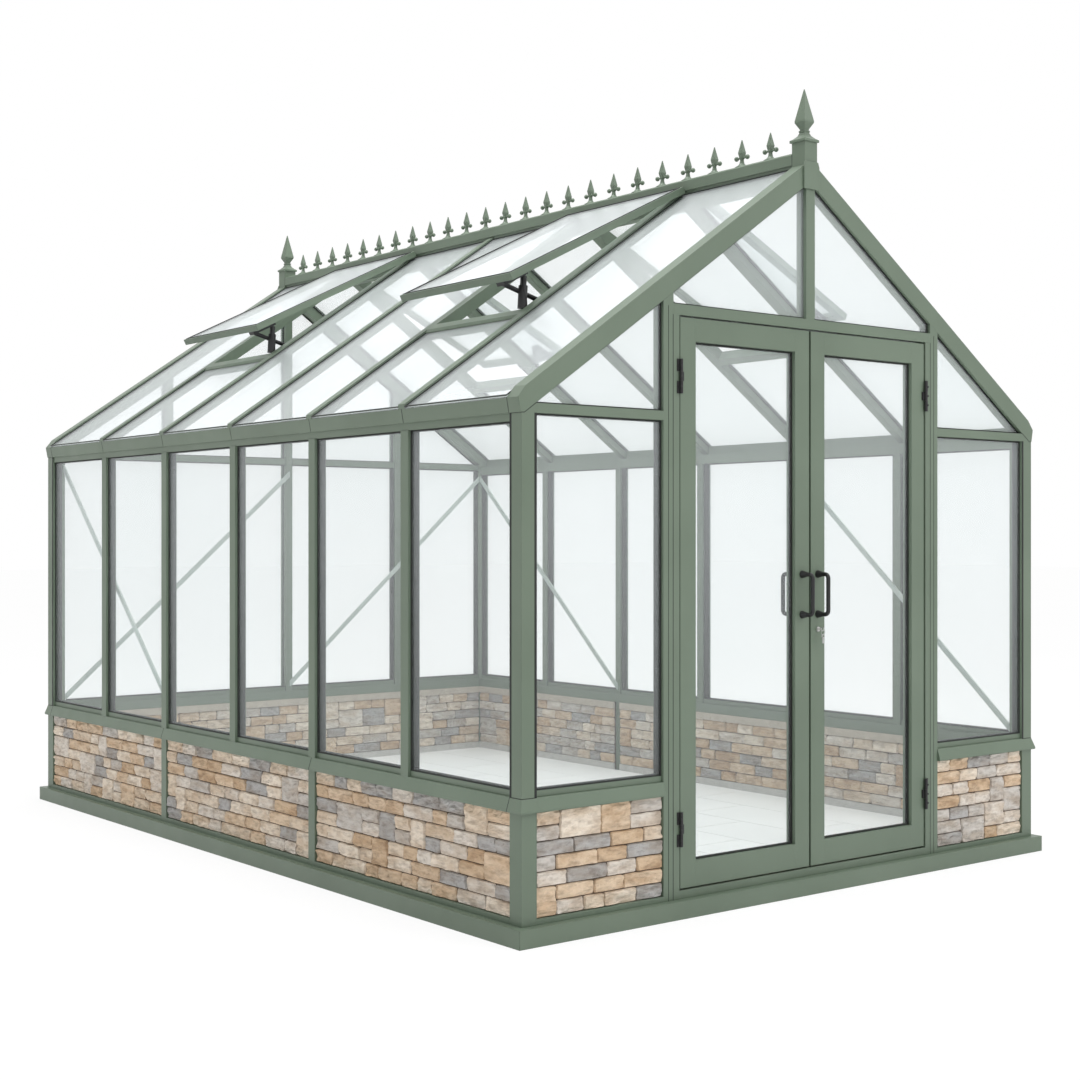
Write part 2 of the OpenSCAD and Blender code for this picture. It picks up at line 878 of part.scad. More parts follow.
// Knuckles, pin and frame-side plates of one butt hinge on the right jamb
module fixed_hinge(level) {
    low = hinge_h * hinge_share[0] - knuckle_gap / 2;
    high = hinge_h * hinge_share[1] + knuckle_gap / 2;
    translate([hinge_x, -hinge_out, level]) {
        cylinder(r = pin_r, h = hinge_h, $fn = 48);
        for (part = [[0, low], [high, hinge_h]]) {
            translate([0, 0, part[0]]) cylinder(r = knuckle_r, h = part[1] - part[0], $fn = 48);
            span(
                [0, hinge_out - hinge_plate_t, part[0]],
                [hinge_plate_w, hinge_out, part[1]]
            );
        }
    }
}

module hinge_plates() {
    color(black) on_front() both_sides() for (level = hinge_levels) fixed_hinge(level);
}

// Middle knuckle and leaf-side plate of one butt hinge on the right leaf
module moving_hinge(level) {
    low = hinge_h * hinge_share[0] + knuckle_gap / 2;
    high = hinge_h * hinge_share[1] - knuckle_gap / 2;
    translate([hinge_x, -hinge_out, level]) difference() {
        union() {
            translate([0, 0, low]) cylinder(r = knuckle_r, h = high - low, $fn = 48);
            span(
                [-hinge_plate_w, hinge_out - hinge_plate_t, low],
                [-leaf_gap / 4, hinge_out + leaf_set, high]
            );
        }
        cylinder(r = pin_r + pin_clear, h = hinge_h, $fn = 48);
    }
}

module leaf_stiles() {
    for (start = [meeting_gap / 2, leaf_x - stile_w])
        span([start, leaf_set, leaf_z], [start + stile_w, leaf_set + leaf_t, leaf_top]);
}

module leaf_rails() {
    inner = meeting_gap / 2 + stile_w;
    outer = leaf_x - stile_w;
    span([inner, leaf_set, leaf_z], [outer, leaf_set + leaf_t, leaf_z + bottom_rail_h]);
    span([inner, leaf_set, leaf_top - top_rail_h], [outer, leaf_set + leaf_t, leaf_top]);
}

module leaf_glass() {
    glass_set = leaf_set + (leaf_t - glass_t) / 2;
    span(
        [meeting_gap / 2 + stile_w, glass_set, leaf_z + bottom_rail_h],
        [leaf_x - stile_w, glass_set + glass_t, leaf_top - top_rail_h]
    );
}

// Pull handle standing off a face at y = 0 towards -y
module pull_handle() {
    bend = 2 * handle_r;
    grip_y = handle_reach - handle_r;
    half = handle_h / 2 - handle_r;
    translate([0, -grip_y, bend - half]) cylinder(r = handle_r, h = 2 * (half - bend), $fn = 48);
    for (end = [0, 1]) mirror([0, 0, end]) {
        translate([0, bend - grip_y, half - bend]) rotate([90, 0, 90]) rotate(90)
            rotate_extrude(angle = 90, $fn = 48) translate([bend, 0]) circle(r = handle_r);
        translate([0, 0, half]) rotate([90, 0, 0]) {
            cylinder(r = handle_r, h = grip_y - bend, $fn = 48);
            cylinder(r = rose_r, h = rose_t, $fn = 48);
            translate([0, 0, rose_t])
                cylinder(r1 = rose_r, r2 = handle_r + rose_step, h = rose_l - rose_t, $fn = 48);
        }
    }
}

module leaf_handles() {
    translate([handle_x, leaf_set, handle_z]) pull_handle();
    translate([handle_x, leaf_set + leaf_t, handle_z]) mirror([0, 1, 0]) pull_handle();
}

module leaf_knuckles() {
    for (level = hinge_levels) moving_hinge(level);
}

module on_left_leaf() {
    on_front() mirror([1, 0, 0]) children();
}

module left_door_stiles() { color(sage) on_left_leaf() leaf_stiles(); }
module left_door_rails() { color(sage) on_left_leaf() leaf_rails(); }
module left_door_glass() { color(clear) on_left_leaf() leaf_glass(); }
module left_door_handles() { color(black) on_left_leaf() leaf_handles(); }
module left_hinge_knuckles() { color(black) on_left_leaf() leaf_knuckles(); }
module right_door_stiles() { color(sage) on_front() leaf_stiles(); }
module right_door_rails() { color(sage) on_front() leaf_rails(); }
module right_door_glass() { color(clear) on_front() leaf_glass(); }
module right_door_handles() { color(black) on_front() leaf_handles(); }
module right_hinge_knuckles() { color(black) on_front() leaf_knuckles(); }

base_side_rails();
base_end_rails();
floor_slab();
side_stone_panels();
end_stone_panels();
panel_beads();
wall_dividers();
corner_posts();
side_sills();
end_sills();
sill_corner_blocks();
glazing_upstands();
wall_mullions();
wall_braces();
door_posts();
door_jambs();
door_header();
door_threshold();
king_posts();
gable_transoms();
eaves_beams();
verge_rafters();
ridge_beam();
ridge_cresting();
finials();
roof_bars();
wall_glass();
gable_glass();
roof_glass();
vent_curb_rails();
vent_curb_sides();
vent_sash_stiles();
vent_sash_rails();
vent_glass();
vent_openers();
hinge_plates();
left_door_stiles();
left_door_rails();
left_door_glass();
left_door_handles();
left_hinge_knuckles();
right_door_stiles();
right_door_rails();
right_door_glass();
right_door_handles();
right_hinge_knuckles();
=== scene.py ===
import math
import random

import bmesh
import bpy
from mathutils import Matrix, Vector, noise


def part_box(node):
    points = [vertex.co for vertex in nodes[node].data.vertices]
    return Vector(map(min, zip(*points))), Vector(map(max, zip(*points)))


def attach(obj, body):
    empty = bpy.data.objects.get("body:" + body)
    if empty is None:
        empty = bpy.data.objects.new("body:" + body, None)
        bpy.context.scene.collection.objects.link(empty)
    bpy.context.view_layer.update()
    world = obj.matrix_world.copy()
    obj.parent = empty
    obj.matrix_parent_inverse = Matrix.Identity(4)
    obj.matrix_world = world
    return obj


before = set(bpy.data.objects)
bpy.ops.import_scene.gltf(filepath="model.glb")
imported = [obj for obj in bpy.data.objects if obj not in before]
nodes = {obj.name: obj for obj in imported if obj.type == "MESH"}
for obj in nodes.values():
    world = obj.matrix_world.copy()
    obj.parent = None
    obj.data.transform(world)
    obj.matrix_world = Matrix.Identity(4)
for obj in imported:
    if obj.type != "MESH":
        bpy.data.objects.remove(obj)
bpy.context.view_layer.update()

MM = 0.001
UP = Vector((0, 0, 1))
SEED = 7
MERGE = 0.01 * MM


# Places read from the frame

def rounded(numbers):
    """Numbers to a tenth of a millimetre, for an order that is the same each run."""
    return tuple(round(k, 4) for k in numbers)


def islands(node):
    """Corner points of each loose solid of a node."""
    bm = bmesh.new()
    bm.from_mesh(nodes[node].data)
    bmesh.ops.remove_doubles(bm, verts=bm.verts, dist=MERGE)
    left = set(bm.verts)
    found = []
    while left:
        start = left.pop()
        island, queue = [start], [start]
        while queue:
            for edge in queue.pop().link_edges:
                for v in edge.verts:
                    if v in left:
                        left.remove(v)
                        island.append(v)
                        queue.append(v)
        found.append(sorted((v.co.copy() for v in island), key=rounded))
    bm.free()
    return sorted(found, key=lambda corners: rounded((*corners[0], *corners[-1])))


def solids(node):
    """Lowest and highest corners of each loose solid of a node."""
    return [
        (Vector(min(k) for k in zip(*corners)), Vector(max(k) for k in zip(*corners)))
        for corners in islands(node)
    ]


HALF_W, HALF_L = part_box("corner_posts")[1].xy
FLOOR_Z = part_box("floor_slab")[1].z
SILL_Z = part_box("side_sills")[0].z
SILL_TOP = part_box("side_sills")[1].z
BEAD_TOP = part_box("panel_beads")[1].z


# Materials

def linear(r, g, b, alpha=1.0):
    """Screen colour in steps of 255, as linear light."""
    def channel(c):
        c /= 255
        return c / 12.92 if c <= 0.04045 else ((c + 0.055) / 1.055) ** 2.4
    return (channel(r), channel(g), channel(b), alpha)


class Shader:
    """A material's node tree, with short names for what the finishes use."""

    def __init__(self, name):
        self.material = bpy.data.materials.new(name)
        self.material.use_nodes = True
        self.tree = self.material.node_tree
        self.tree.nodes.clear()
        self.output = self.node("OutputMaterial")

    def node(self, kind, **settings):
        made = self.tree.nodes.new("ShaderNode" + kind)
        for key, value in settings.items():
            setattr(made, key, value)
        return made

    def link(self, source, target):
        self.tree.links.new(source, target)

    def noise(self, scale, detail=3.0, roughness=0.5, w=None, stretch=None):
        made = self.node("TexNoise", noise_dimensions="4D" if w else "3D")
        made.inputs["Scale"].default_value = scale
        made.inputs["Detail"].default_value = detail
        made.inputs["Roughness"].default_value = roughness
        place = self.node("TexCoord").outputs["Object"]
        if stretch:
            mapping = self.node("Mapping")
            mapping.inputs["Scale"].default_value = stretch
            self.link(place, mapping.inputs["Vector"])
            place = mapping.outputs["Vector"]
        self.link(place, made.inputs["Vector"])
        if w:
            self.link(w, made.inputs["W"])
        return made.outputs["Fac"]

    def ramp(self, fac, *stops, mode="LINEAR"):
        made = self.node("ValToRGB")
        made.color_ramp.interpolation = mode
        elements = made.color_ramp.elements
        while len(elements) < len(stops):
            elements.new(0.5)
        for element, (place, colour) in zip(elements, stops):
            element.position = place
            element.color = colour
        self.link(fac, made.inputs["Fac"])
        return made.outputs["Color"]

    def range(self, fac, low, high, start=0.0, end=1.0):
        made = self.node("MapRange")
        values = {"From Min": start, "From Max": end, "To Min": low, "To Max": high}
        for name, value in values.items():
            made.inputs[name].default_value = value
        self.link(fac, made.inputs["Value"])
        return made.outputs["Result"]

    def mix(self, fac, a, b, blend="MIX"):
        made = self.node("Mix", data_type="RGBA", blend_type=blend)
        for value, socket in ((fac, 0), (a, 6), (b, 7)):
            if hasattr(value, "links"):
                self.link(value, made.inputs[socket])
            else:
                made.inputs[socket].default_value = value
        return made.outputs[2]

    def bump(self, height, strength, distance, edge=0.0):
        made = self.node("Bump")
        made.inputs["Strength"].default_value = strength
        made.inputs["Distance"].default_value = distance
        self.link(height, made.inputs["Height"])
        if edge:
            bevel = self.node("Bevel", samples=4)
            bevel.inputs["Radius"].default_value = edge
            self.link(bevel.outputs["Normal"], made.inputs["Normal"])
        return made.outputs["Normal"]

    def surface(self, colour, roughness, normal=None, **sockets):
        made = self.node("BsdfPrincipled")
        for name, value in {"Base Color": colour, "Roughness": roughness, "Normal": normal}.items():
            if hasattr(value, "links"):
                self.link(value, made.inputs[name])
            elif value is not None:
                made.inputs[name].default_value = value
        for name, value in sockets.items():
            made.inputs[name.replace("_", " ")].default_value = value
        self.link(made.outputs["BSDF"], self.output.inputs["Surface"])
        return self.material


def coated(name, dark, light, roughness, edge=2.5 * MM, grain=0.05):
    """Paint, lacquer or rubber: a soft drift of tone, fine grain and eased edges."""
    s = Shader(name)
    tone = s.ramp(s.noise(2.3, 4.0), (0.35, dark), (0.65, light))
    rough = s.range(s.noise(9.0), roughness - 0.05, roughness + 0.05, 0.3, 0.7)
    normal = s.bump(s.noise(900.0, 2.0), grain, 0.4 * MM, edge)
    return s.surface(tone, rough, normal)


PANE_TINTS = ((0.986, 0.998, 0.997, 1), (0.992, 1.0, 0.999, 1))
# A diffuse white veil in the panes is painted reflection; its share rises with height.
PAINTED_VEIL_COLOUR = (0.93, 0.97, 1.0, 1)
PAINTED_VEIL_SHARE, PAINTED_VEIL_HEIGHT = (0.045, 0.15), (0.5, 2.1)
GLOSS_COLOUR, GLOSS_ROUGHNESS = (0.97, 0.99, 1.0, 1), 0.32
GLOSS_SHARE, GLOSS_POWER = (0.03, 0.40), 4.0


def clear_glass():
    """Thin panes: straight through, with a white veil of painted reflection that grows upwards, and
    a soft reflection.
    """
    s = Shader("clear_glass")
    through = s.node("BsdfTransparent")
    tint = s.ramp(s.noise(0.8, 1.0), (0.4, PANE_TINTS[0]), (0.6, PANE_TINTS[1]))
    s.link(tint, through.inputs["Color"])
    # Painted reflection: a diffuse white veil over what is seen through the pane.
    painted_veil = s.node("BsdfDiffuse")
    painted_veil.inputs["Color"].default_value = PAINTED_VEIL_COLOUR
    gloss = s.node("BsdfAnisotropic")
    gloss.inputs["Roughness"].default_value = GLOSS_ROUGHNESS
    gloss.inputs["Color"].default_value = GLOSS_COLOUR
    facing = s.node("LayerWeight").outputs["Facing"]
    grazing = s.node("Math", operation="POWER")
    grazing.inputs[1].default_value = GLOSS_POWER
    s.link(facing, grazing.inputs[0])
    veiled, blend = s.node("MixShader"), s.node("MixShader")
    height = s.node("SeparateXYZ")
    s.link(s.node("TexCoord").outputs["Object"], height.inputs[0])
    s.link(s.range(height.outputs["Z"], *PAINTED_VEIL_SHARE, *PAINTED_VEIL_HEIGHT), veiled.inputs["Fac"])
    s.link(through.outputs["BSDF"], veiled.inputs[1])
    s.link(painted_veil.outputs["BSDF"], veiled.inputs[2])
    s.link(s.range(grazing.outputs[0], *GLOSS_SHARE), blend.inputs["Fac"])
    s.link(veiled.outputs["Shader"], blend.inputs[1])
    s.link(gloss.outputs["BSDF"], blend.inputs[2])
    s.link(blend.outputs["Shader"], s.output.inputs["Surface"])
    return s.material


STONE_TONES = (
    (0.00, linear(238, 225, 208)),
    (0.20, linear(226, 203, 176)),
    (0.36, linear(228, 219, 208)),
    (0.52, linear(228, 211, 190)),
    (0.64, linear(214, 188, 158)),
    (0.74, linear(208, 202, 195)),
    (0.87, linear(184, 182, 180)),
)
STONE_STAIN = ((0.38, (0.76, 0.68, 0.60, 1)), (0.58, (1.0, 1.0, 1.0, 1)))
# Colour that follows the relief: painted highlight on the high points, painted shade in the
# hollows.
STONE_RELIEF_SHADING = ((0.34, (0.74, 0.72, 0.71, 1)), (0.54, (1.05, 1.05, 1.05, 1)))
STONE_STRETCH = (0.6, 0.6, 1.7)


def stone(name, level):
    """Split stone: each piece takes its own tone, with veins, stains and a rough face, whose high
    points carry painted highlight and whose hollows carry painted shade.
    """
    s = Shader(name)
    tone = s.node("Attribute", attribute_name="tone").outputs["Fac"]
    own = s.range(tone, 0.0, 60.0)
    base = s.ramp(tone, *STONE_TONES, mode="CONSTANT")
    base = s.mix(1.0, base, (level, level, level, 1), "MULTIPLY")
    stain = s.ramp(s.noise(15.0, 3.0, 0.5, own, STONE_STRETCH), *STONE_STAIN)
    relief = s.noise(40.0, 5.0, 0.6, own, STONE_STRETCH)
    # Painted highlight and painted shade, from the same relief that makes the bump.
    relief_shading = s.ramp(relief, *STONE_RELIEF_SHADING)
    colour = s.mix(1.0, s.mix(0.8, base, stain, "MULTIPLY"), relief_shading, "MULTIPLY")
    normal = s.bump(relief, 1.0, 10 * MM)
    return s.surface(colour, 0.88, normal)


def mortar():
    """Dark bed behind the stones."""
    s = Shader("dark_mortar")
    tone = s.ramp(s.noise(60.0, 4.0), (0.3, linear(72, 62, 54)), (0.7, linear(104, 90, 78)))
    return s.surface(tone, 0.95, s.bump(s.noise(220.0, 3.0), 0.5, 2 * MM))


def paving():
    """Pale tiles, each clouded in its own way."""
    s = Shader("pale_tile")
    own = s.range(s.node("Attribute", attribute_name="tone").outputs["Fac"], 0.0, 40.0)
    cloud = s.noise(3.0, 5.0, 0.6, own)
    tone = s.ramp(cloud, (0.3, linear(236, 236, 235)), (0.7, linear(247, 247, 246)))
    return s.surface(tone, 0.55, s.bump(s.noise(120.0, 3.0), 0.1, 1 * MM))


def cement(name, dark, light):
    """Cast trim with eased edges."""
    s = Shader(name)
    tone = s.ramp(s.noise(25.0, 5.0, 0.6), (0.3, dark), (0.7, light))
    return s.surface(tone, 0.8, s.bump(s.noise(180.0, 3.0), 0.3, 1 * MM, 2 * MM))


def metal(name, dark, light, roughness):
    """Bare metal with a fine grain."""
    s = Shader(name)
    tone = s.ramp(s.noise(40.0, 3.0), (0.35, dark), (0.65, light))
    rough = s.range(s.noise(60.0), roughness - 0.06, roughness + 0.06, 0.3, 0.7)
    return s.surface(tone, rough, s.bump(s.noise(600.0), 0.05, 0.3 * MM, 0.8 * MM), Metallic=1.0)


PAINT = coated("sage_paint", linear(101, 116, 99), linear(108, 123, 106), 0.42)
BLACK = coated("black_coat", linear(22, 22, 23), linear(32, 32, 33), 0.38, grain=0.08)
# Dark rubber for the seals and seams, and for the strips of painted shade inside the wall panes and
# beside the corner posts.
RUBBER_AND_SHADE = coated("dark_rubber_and_shade", linear(30, 34, 31), linear(42, 46, 42), 0.7, edge=0.5 * MM)
ROD = coated("pale_rod", linear(176, 188, 182), linear(190, 200, 194), 0.35, edge=0.8 * MM)
GLASS = clear_glass()
STONE = stone("split_stone", 0.94)
# The inner lining is the same stone set a little darker: painted shade.
SHADED_LINING = stone("shaded_lining_stone", 0.88)
MORTAR = mortar()
TILE = paving()
COPING = cement("cream_coping", linear(176, 166, 152), linear(194, 184, 170))
SKIRTING = cement("grey_skirting", linear(186, 184, 180), linear(204, 202, 198))
STEEL = metal("brushed_steel", linear(176, 176, 174), linear(206, 206, 204), 0.3)

FINISHES = {
    GLASS: (
        "wall_glass", "gable_glass", "roof_glass", "vent_glass",
        "left_door_glass", "right_door_glass",
    ),
    MORTAR: ("side_stone_panels", "end_stone_panels"),
    SKIRTING: ("floor_slab",),
    ROD: ("wall_braces",),
    BLACK: (
        "vent_openers", "hinge_plates", "left_door_handles", "right_door_handles",
        "left_hinge_knuckles", "right_hinge_knuckles",
    ),
}
finish_of = {name: finish for finish, names in FINISHES.items() for name in names}
for name, node in nodes.items():
    node.data.materials.clear()
    node.data.materials.append(finish_of.get(name, PAINT))


# Meshes

def add_piece(name, data, material, body):
    """Make a mesh one piece of the part, riding on a body."""
    data.materials.append(material)
    made = bpy.data.objects.new(name, data)
    bpy.context.scene.collection.objects.link(made)
    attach(made, body)


def circle(parts):
    """Points of a flat ring with a radius of 1."""
    turns = [2 * math.pi * i / parts for i in range(parts)]
    return [Vector((math.cos(a), math.sin(a), 0)) for a in turns]


class Mesh:
    """Faces gathered for one piece, with one tone number for each face."""

    BOX_FACES = (
        (0, 1, 3, 2), (4, 6, 7, 5), (0, 4, 5, 1),
        (2, 3, 7, 6), (0, 2, 6, 4), (1, 5, 7, 3),
    )

    def __init__(self):
        self.verts, self.faces, self.tones = [], [], []

    def add(self, verts, faces, tone=0.5):
        start = len(self.verts)
        self.verts += [tuple(v) for v in verts]
        self.faces += [[start + i for i in face] for face in faces]
        self.tones += [tone] * len(faces)

    def box(self, lo, hi, tone=0.5):
        xs, ys, zs = zip(lo, hi)
        self.add([(x, y, z) for x in xs for y in ys for z in zs], self.BOX_FACES, tone)

    def line(self, start, end, out, wide, proud):
        """Thin bar along a face, from one point to another."""
        side = (end - start).cross(out).normalized() * wide / 2
        corners = [
            p + side * s + out * t
            for s in (-1, 1) for p in (start, end) for t in (-proud, proud)
        ]
        self.add(corners, self.BOX_FACES)

    def prism(self, foot, along, radius, sides=12):
        """Round bar from a point along a vector, with flat ends."""
        turn = along.to_track_quat("Z", "Y").to_matrix()
        rim = [foot + turn @ (p * radius) for p in circle(sides)]
        round_it = [(i, (i + 1) % sides, sides + (i + 1) % sides, sides + i) for i in range(sides)]
        ends = [tuple(range(sides))[::-1], tuple(range(sides, 2 * sides))]
        self.add(rim + [p + along for p in rim], round_it + ends)

    def piece(self, name, material, body, slot):
        """Turn what was gathered into a piece."""
        data = bpy.data.meshes.new(name)
        data.from_pydata(self.verts, [], self.faces)
        data.attributes.new("tone", "FLOAT", "FACE").data.foreach_set("value", self.tones)
        add_piece(name, data, material, body)


class Wall:
    """A wall's face: u runs to the right, z up and d out of the wall."""

    def __init__(self, origin, out):
        self.origin, self.out = Vector(origin), Vector(out)
        self.right = UP.cross(self.out)

    def at(self, u, z, d=0.0):
        return self.origin + self.right * u + UP * z + self.out * d

    def span(self, mesh, u0, u1, z0, z1, d0, d1, tone=0.5):
        a, b = self.at(u0, z0, d0), self.at(u1, z1, d1)
        mesh.box([min(p) for p in zip(a, b)], [max(p) for p in zip(a, b)], tone)


OUTER = {
    "left": Wall((-HALF_W, 0, 0), (-1, 0, 0)),
    "right": Wall((HALF_W, 0, 0), (1, 0, 0)),
    "front": Wall((0, -HALF_L, 0), (0, -1, 0)),
    "rear": Wall((0, HALF_L, 0), (0, 1, 0)),
}


# Split stones, laid in courses

CELL_U, CELL_Z = 14 * MM, 22.5 * MM
JOINT = 2.4 * MM
STONE_CELLS = (6, 12)
LEAST_BOND = 2
STONE_ROWS = (2, 2, 2, 2, 2, 2, 2, 2, 4)
STONE_PROUD = (4 * MM, 9 * MM)
STONE_STEP = 8.5 * MM
EDGE_IN = 2.6 * MM
CORNER_IN = 1.4 * MM
LEAN = 2 * MM
ROUGH_SCALE, ROUGH_DEPTH, ROUGH_SHIFT = (26, 62), 7 * MM, 1.5 * MM
FINE_SCALE, FINE_DEPTH = (80, 140), 3 * MM
LEAST_PROUD = 0.3 * MM
NOISE_REACH = 50


def split_stone(mesh, wall, u0, u1, z0, z1, bed, rng):
    """One stone: a rough face that falls away to the joints."""
    def steps(length):
        count = max(2, round(length / STONE_STEP))
        return [0.0] + [i / count for i in range(count + 1)] + [1.0]

    steps_u, steps_z = steps(u1 - u0), steps(z1 - z0)
    proud = rng.uniform(*STONE_PROUD)
    lean_u, lean_z = rng.uniform(-LEAN, LEAN), rng.uniform(-LEAN, LEAN)
    shift = Vector([rng.uniform(0, NOISE_REACH) for _ in range(3)])
    last_u, last_z = len(steps_u) - 1, len(steps_z) - 1
    verts = []
    for j, fz in enumerate(steps_z):
        for i, fu in enumerate(steps_u):
            rim_u, rim_z = i in (0, last_u), j in (0, last_z)
            inset_u = (0 if rim_u else EDGE_IN) + (CORNER_IN if rim_z or fz in (0, 1) else 0)
            inset_z = (0 if rim_z else EDGE_IN) + (CORNER_IN if rim_u or fu in (0, 1) else 0)
            u = min(max(u0 + (u1 - u0) * fu, u0 + inset_u), u1 - inset_u)
            z = min(max(z0 + (z1 - z0) * fz, z0 + inset_z), z1 - inset_z)
            depth = LEAST_PROUD
            if not (rim_u or rim_z):
                rough = noise.noise_vector(
                    Vector((u * ROUGH_SCALE[0], z * ROUGH_SCALE[1], 0)) + shift
                )
                fine = noise.noise(Vector((u * FINE_SCALE[0], z * FINE_SCALE[1], 0)) + shift)
                tilt = lean_u * (fu - 0.5) + lean_z * (fz - 0.5)
                depth = max(proud + tilt + rough.z * ROUGH_DEPTH + fine * FINE_DEPTH, depth)
                u += rough.x * ROUGH_SHIFT
                z += rough.y * ROUGH_SHIFT
            verts.append(wall.at(u, z, bed + depth))
    wide = len(steps_u)
    faces = [
        (j * wide + i, j * wide + i + 1, (j + 1) * wide + i + 1, (j + 1) * wide + i)
        for j in range(last_z) for i in range(last_u)
    ]
    mesh.add(verts, faces, rng.random())


def stonework(mesh, wall, u0, u1, z0, z1, bed, rng):
    """Stones of uneven size, each set on the lowest place that is left in the panel."""
    columns, rows = round((u1 - u0) / CELL_U), 2 * round((z1 - z0) / CELL_Z / 2)
    cell_u, cell_z = (u1 - u0) / columns, (z1 - z0) / rows
    tops = [0] * columns
    joints = set()
    while min(tops) < rows:
        low = min(tops)
        start = tops.index(low)
        run = 1
        while start + run < columns and tops[start + run] == low:
            run += 1
        wide = run
        if run > STONE_CELLS[1]:
            widest = min(STONE_CELLS[1], run - STONE_CELLS[0])
            near = range(-LEAST_BOND, LEAST_BOND + 1)
            fits = [
                w for w in range(STONE_CELLS[0], widest + 1)
                if not any((start + w + k, low - 1) in joints for k in near)
            ]
            wide = rng.choice(fits or [widest])
        heights = STONE_ROWS if wide >= STONE_CELLS[0] else STONE_ROWS[:1]
        tall = min(rng.choice(heights), rows - low)
        if rows - low - tall == 1:
            tall += 1
        split_stone(
            mesh, wall,
            u0 + start * cell_u + JOINT / 2, u0 + (start + wide) * cell_u - JOINT / 2,
            z0 + low * cell_z + JOINT / 2, z0 + (low + tall) * cell_z - JOINT / 2,
            bed, rng,
        )
        for c in range(start, start + wide):
            tops[c] = low + tall
        for row in range(low, low + tall):
            joints |= {(start, row), (start + wide, row)}


def wall_runs(node):
    """Each stone panel's wall, its ends along the wall and its two faces."""
    for lo, hi in solids(node):
        if hi.y - lo.y > hi.x - lo.x:
            wall = OUTER["left"] if lo.x < 0 else OUTER["right"]
        else:
            wall = OUTER["front"] if lo.y < 0 else OUTER["rear"]
        ends = sorted((c - wall.origin).dot(wall.right) for c in (lo, hi))
        faces = sorted((c - wall.origin).dot(wall.out) for c in (lo, hi))
        yield wall, ends, faces


COPING_H = 34 * MM
SKIRTING_H = 34 * MM
TRIM_T = 9 * MM

rng = random.Random(SEED)
noise.seed_set(SEED)
outer_stones, inner_stones = Mesh(), Mesh()
coping, skirting = Mesh(), Mesh()
for node in ("side_stone_panels", "end_stone_panels"):
    for wall, (u0, u1), (inside, outside) in wall_runs(node):
        stonework(outer_stones, wall, u0, u1, BEAD_TOP, SILL_Z, outside, rng)
        lining = Wall(wall.origin, -wall.out)
        bed = -inside
        low, high = FLOOR_Z + SKIRTING_H, SILL_Z - COPING_H
        stonework(inner_stones, lining, -u1, -u0, low, high, bed, rng)
        lining.span(coping, -u1, -u0, high, SILL_Z, bed, bed + TRIM_T)
        lining.span(skirting, -u1, -u0, FLOOR_Z, low, bed, bed + TRIM_T)
outer_stones.piece("outer_stones", STONE, "frame", "wall_stone")
inner_stones.piece("inner_stones", SHADED_LINING, "frame", "wall_stone")
coping.piece("inner_coping", COPING, "frame", "wall_stone")
skirting.piece("inner_skirting", SKIRTING, "frame", "floor_paving")


# Floor tiles

TILE_L, TILE_W, TILE_T = 600 * MM, 300 * MM, 4 * MM
TILE_JOINT = 4 * MM


def floor_tiles():
    """Staggered paving, half sunk into the slab."""
    lo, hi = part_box("floor_slab")
    rng = random.Random(SEED)
    mesh = Mesh()
    rows = round((hi.x - lo.x) / TILE_W)
    wide = (hi.x - lo.x) / rows
    for row in range(rows):
        y = lo.y - (TILE_L / 2 if row % 2 else 0)
        while y < hi.y:
            a, b = max(y, lo.y) + TILE_JOINT / 2, min(y + TILE_L, hi.y) - TILE_JOINT / 2
            y += TILE_L
            if b - a < TILE_JOINT:
                continue
            x = lo.x + row * wide
            mesh.box(
                (x + TILE_JOINT / 2, a, FLOOR_Z - TILE_T / 2),
                (x + wide - TILE_JOINT / 2, b, FLOOR_Z + TILE_T / 2),
                rng.random(),
            )
    return mesh


floor_tiles().piece("floor_tiles", TILE, "frame", "floor_paving")


# Rubber seals round the panes, and dark strips of painted shade inside the wall panes

SEAL_W, SEAL_T = 5 * MM, 3 * MM
DOOR_SEAL_W, DOOR_SEAL_T = 6 * MM, 4 * MM
FLAT_ANGLE = 0.02
INNER_SHADE_STRIP_T = 24 * MM
# Depth of the inner strips: painted shade on the uprights' sides behind the glass.
VENT_SEAL_W = 10 * MM
UPRIGHTS = ("corner_posts", "wall_mullions", "door_posts", "door_jambs")
WALL_DEPTH = 70 * MM
LEAST_PANE = 100 * MM


def pane_gaps(wall):
    """Clear gaps between the uprights of a wall, without the doorway."""
    taken = []
    for node in UPRIGHTS:
        for lo, hi in solids(node):
            depths = [(c - wall.origin).dot(wall.out) for c in (lo, hi)]
            if min(depths) > -WALL_DEPTH:
                taken.append(sorted((c - wall.origin).dot(wall.right) for c in (lo, hi)))
    taken.sort()
    for (_, left), (right, _) in zip(taken, taken[1:]):
        doorway = wall is OUTER["front"] and left < 0 < right
        if right - left > LEAST_PANE and not doorway:
            yield left, right


def strips(mesh, wall, u0, u1, z0, z1, d0, d1, wide):
    """Four bars along the inside of a rectangle."""
    for a, b in ((u0, u0 + wide), (u1 - wide, u1)):
        wall.span(mesh, a, b, z0, z1, d0, d1)
    for a, b in ((z0, z0 + wide), (z1 - wide, z1)):
        wall.span(mesh, u0 + wide, u1 - wide, a, b, d0, d1)


def wall_seals_and_shade():
    """Seals on both faces of the wall panes, deeper on the inside, where they are dark strips of
    painted shade on the uprights' sides.
    """
    mesh = Mesh()
    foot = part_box("glazing_upstands")[1].z
    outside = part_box("wall_glass")[1].x - HALF_W
    pane_lo, pane_hi = solids("wall_glass")[0]
    inside = outside - min((pane_hi - pane_lo).xy)
    for name, wall in OUTER.items():
        long_side = name in ("left", "right")
        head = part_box("eaves_beams" if long_side else "gable_transoms")[0].z
        for u0, u1 in pane_gaps(wall):
            strips(mesh, wall, u0, u1, foot, head, outside, outside + SEAL_T, SEAL_W)
            # Deep dark strips on the inside: painted shade for the shadowed rebates.
            strips(mesh, wall, u0, u1, foot, head, inside - INNER_SHADE_STRIP_T, inside, SEAL_W)
    return mesh


